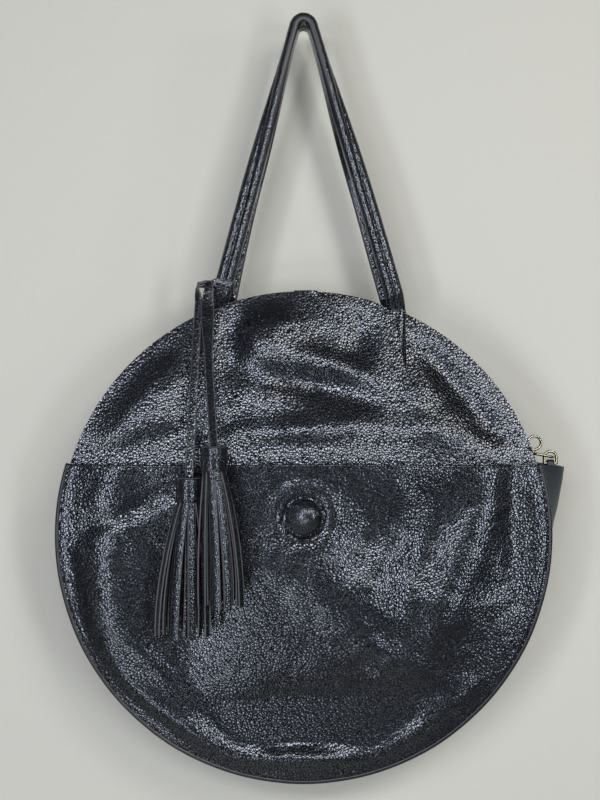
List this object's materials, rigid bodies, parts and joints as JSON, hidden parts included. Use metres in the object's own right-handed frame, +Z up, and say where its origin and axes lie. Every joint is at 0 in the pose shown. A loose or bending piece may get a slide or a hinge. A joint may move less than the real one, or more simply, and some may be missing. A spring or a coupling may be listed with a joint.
{
  "type": "circle bag",
  "caption": "Round flat leather shoulder bag with open pocket across the lower front, paired strap handles, hanging tassels and side rings.",
  "frame": {"origin": "centre of the bend where both handles hang on a hook or a hand", "axes": "+Z up, +X to the right seen from the front, the pocket side faces -Y"},
  "size_m": [0.4231, 0.1249, 0.6399],
  "materials": {
    "pebbled_leather": "pebbled, semi-gloss",
    "gusset_leather": "smooth, semi-gloss",
    "piping_leather": "smooth edge paint",
    "strap_leather": "pebbled with painted edges",
    "tassel_leather": "pebbled with cut edges",
    "lining_cloth": "plain woven",
    "magnet_steel": "satin",
    "pale_gold": "polished plating"
  },
  "bodies": {
    "bag_body": {"front_panel": "pebbled_leather", "back_panel": "pebbled_leather", "gusset": "gusset_leather", "front_piping": "piping_leather", "back_piping": "piping_leather", "pocket_panel": "pebbled_leather", "pocket_snap_cap": "pebbled_leather", "pocket_magnet": "magnet_steel", "panel_magnet": "magnet_steel", "front_lining": "lining_cloth", "back_lining": "lining_cloth", "gusset_lining": "lining_cloth", "right_ring_tab": "gusset_leather", "left_ring_tab": "gusset_leather"},
    "front_top": {"front_top_panel": "pebbled_leather", "front_top_lining": "lining_cloth", "front_mouth_tab": "pebbled_leather", "front_mouth_magnet": "magnet_steel", "front_handle_tails": "strap_leather"},
    "back_top": {"back_top_panel": "pebbled_leather", "back_top_lining": "lining_cloth", "back_mouth_tab": "pebbled_leather", "back_mouth_magnet": "magnet_steel", "back_handle_tails": "strap_leather"},
    "front_handle": {"front_handle": "strap_leather", "tassel_loop": "tassel_leather"},
    "back_handle": {"back_handle": "strap_leather"},
    "tassel_thongs": {"tassel_hitch": "tassel_leather", "upper_thong": "tassel_leather", "lower_thong": "tassel_leather"},
    "upper_tassel": {"upper_tassel_cap": "tassel_leather", "upper_tassel_fringe": "tassel_leather"},
    "lower_tassel": {"lower_tassel_cap": "tassel_leather", "lower_tassel_fringe": "tassel_leather"},
    "right_ring": {"right_ring": "pale_gold"},
    "left_ring": {"left_ring": "pale_gold"},
    "snap_hook": {"snap_hook": "pale_gold"},
    "snap_gate": {"snap_gate": "pale_gold"},
    "snap_eye": {"snap_eye": "pale_gold"}
  },
  "joints": [
    {"name": "front_mouth", "type": "hinge", "parent": "bag_body", "child": "front_top", "pos_m": [0, -0.0369, -0.3647], "axis": [1, 0, 0], "range_deg": [0, 12]},
    {"name": "back_mouth", "type": "hinge", "parent": "bag_body", "child": "back_top", "pos_m": [0, 0.0369, -0.3647], "axis": [-1, 0, 0], "range_deg": [0, 20]},
    {"name": "front_handle_drop", "type": "hinge", "parent": "front_top", "child": "front_handle", "pos_m": [0, -0.0131, -0.22393], "axis": [1, 0, 0], "range_deg": [0, 90]},
    {"name": "back_handle_drop", "type": "hinge", "parent": "back_top", "child": "back_handle", "pos_m": [0, 0.0131, -0.22393], "axis": [-1, 0, 0], "range_deg": [0, 130]},
    {"name": "tassel_thong_turn", "type": "hinge", "parent": "front_handle", "child": "tassel_thongs", "pos_m": [-0.079, -0.0232, -0.21293], "axis": [1, 0, 0], "range_deg": [-90, 0]},
    {"name": "upper_tassel_swing", "type": "hinge", "parent": "tassel_thongs", "child": "upper_tassel", "pos_m": [-0.0709, -0.074, -0.3499], "axis": [1, 0, 0], "range_deg": [-12, 0]},
    {"name": "lower_tassel_swing", "type": "hinge", "parent": "tassel_thongs", "child": "lower_tassel", "pos_m": [-0.0913, -0.064, -0.3751], "axis": [1, 0, 0], "range_deg": [-12, 0]},
    {"name": "right_ring_swing", "type": "hinge", "parent": "bag_body", "child": "right_ring", "pos_m": [0.20954, 0, -0.3671], "axis": [1, 0, 0], "range_deg": [-60, 60]},
    {"name": "left_ring_swing", "type": "hinge", "parent": "bag_body", "child": "left_ring", "pos_m": [-0.18534, 0, -0.3671], "axis": [1, 0, 0], "range_deg": [0, 208]},
    {"name": "snap_hook_swing", "type": "hinge", "parent": "right_ring", "child": "snap_hook", "pos_m": [0.21204, 0, -0.362], "axis": [0, 1, 0], "range_deg": [0, 150]},
    {"name": "snap_gate_open", "type": "hinge", "parent": "snap_hook", "child": "snap_gate", "pos_m": [0.19927, -0.0043, -0.35959], "axis": [0.1857, 0, 0.9826], "range_deg": [0, 18], "stiffness_Nm_per_rad": 0.01, "springref_deg": -17.19},
    {"name": "snap_eye_turn", "type": "hinge", "parent": "snap_hook", "child": "snap_eye", "pos_m": [0.19436, 0, -0.35866], "axis": [0.1857, 0, 0.9826], "continuous": true}
  ],
  "couplings": [
    {"joint": "tassel_thong_turn", "follows": "front_handle_drop", "ratio": -1},
    {"joint": "upper_tassel_swing", "follows": "front_mouth", "ratio": -1},
    {"joint": "lower_tassel_swing", "follows": "front_mouth", "ratio": -1}
  ]
}
